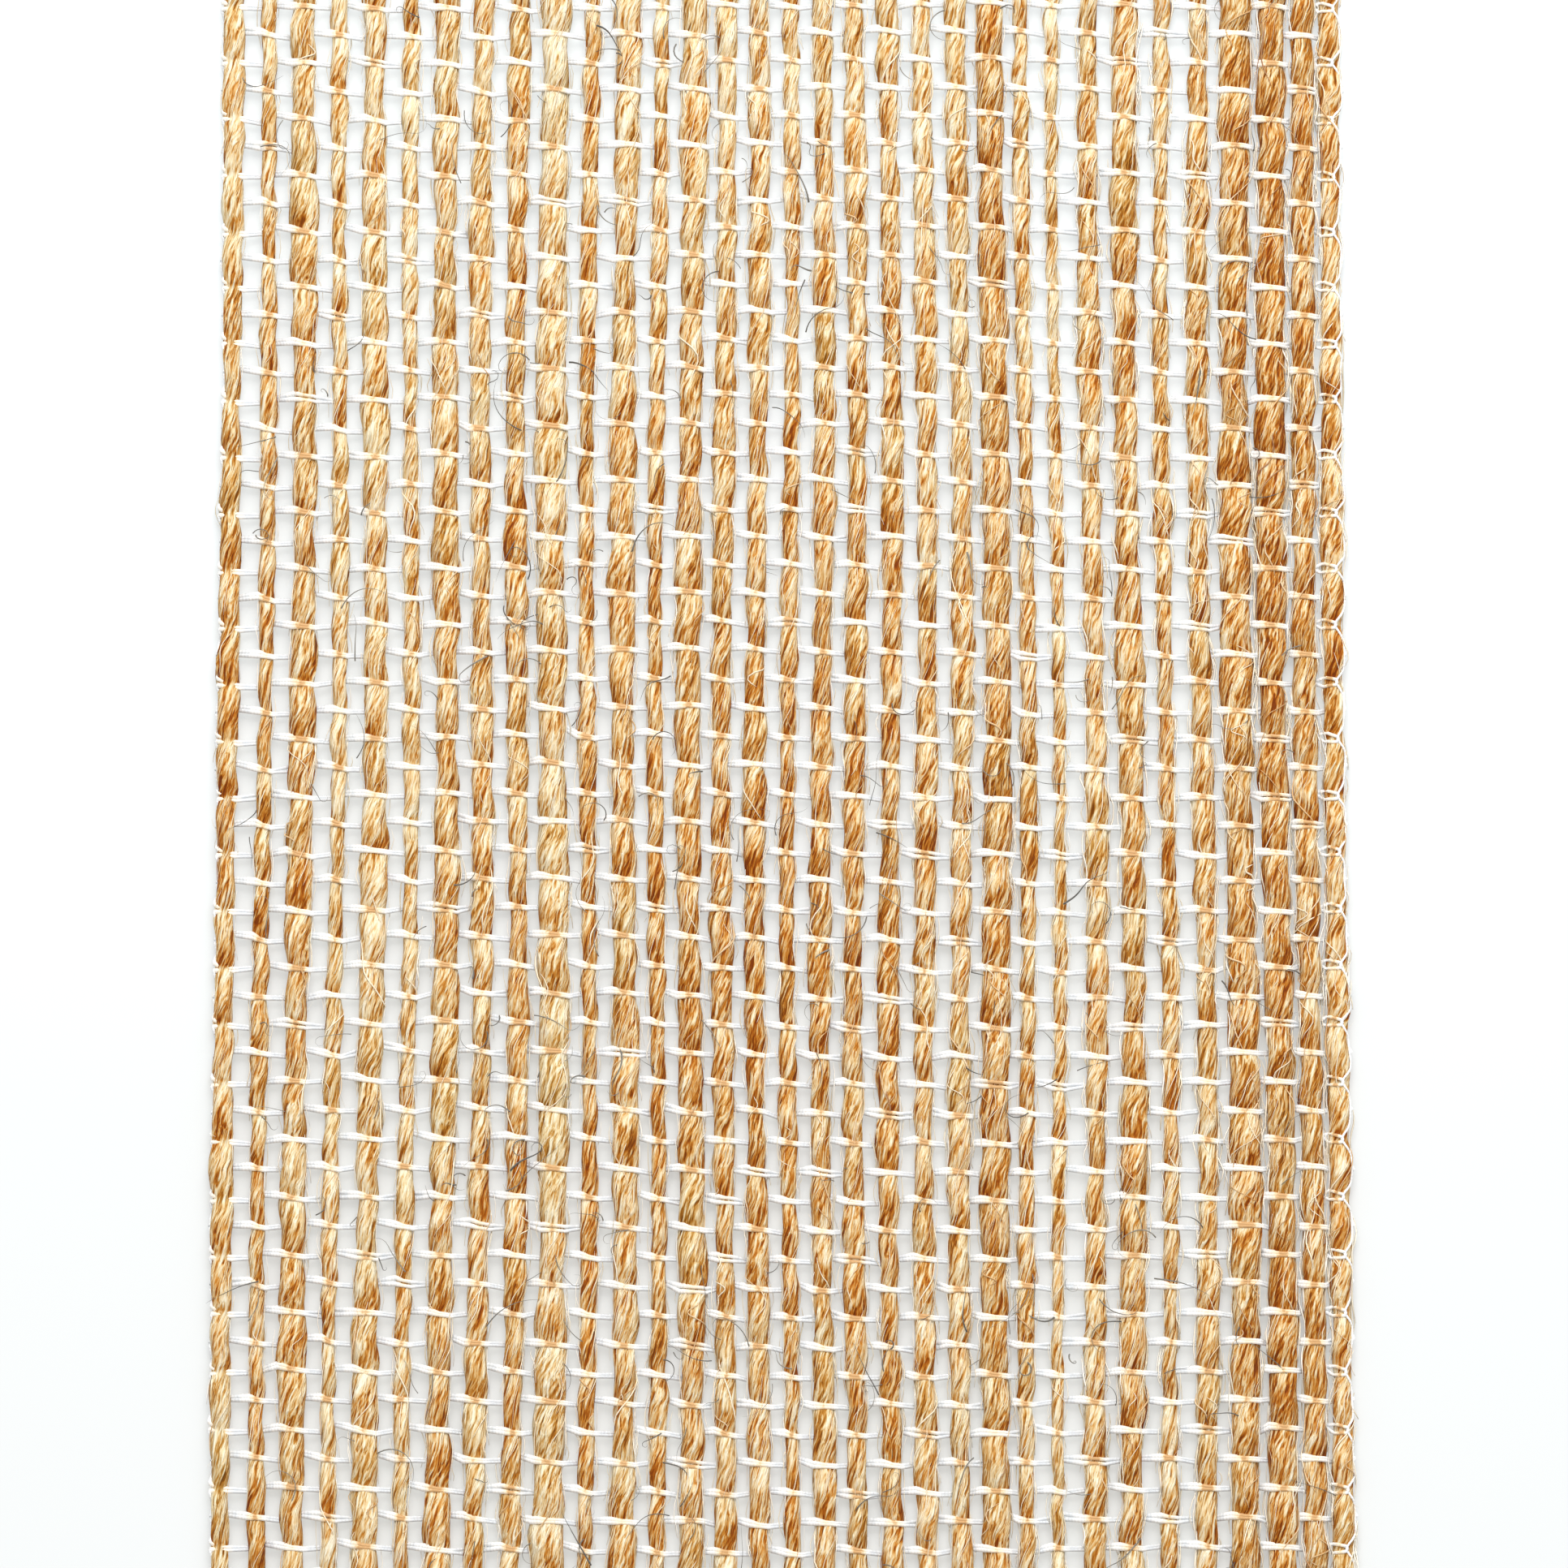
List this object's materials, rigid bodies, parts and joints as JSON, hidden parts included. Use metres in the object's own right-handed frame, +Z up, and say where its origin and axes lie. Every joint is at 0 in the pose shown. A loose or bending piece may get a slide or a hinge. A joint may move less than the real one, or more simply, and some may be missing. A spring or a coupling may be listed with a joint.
{
  "type": "jute ribbon trim",
  "caption": "Cut length of open jute ribbon, lying flat: jute yarns along it, a fine white cross thread, a looped edge on the left and a thread chain on the right.",
  "frame": {"origin": "middle of the flat underside, on the surface that the ribbon lies on", "axes": "+Y along the ribbon and its jute yarns, +X across it towards the edge with the thread chain, +Z up out of its face"},
  "size_m": [0.0638, 0.11, 0.0019],
  "materials": {
    "jute": "loosely spun golden jute, matt with a dry sheen along its fibres",
    "white_thread": "fine doubled white sewing-weight thread, soft sheen"
  },
  "bodies": {
    "root": {"jute_ribbon": "jute"}
  },
  "joints": []
}
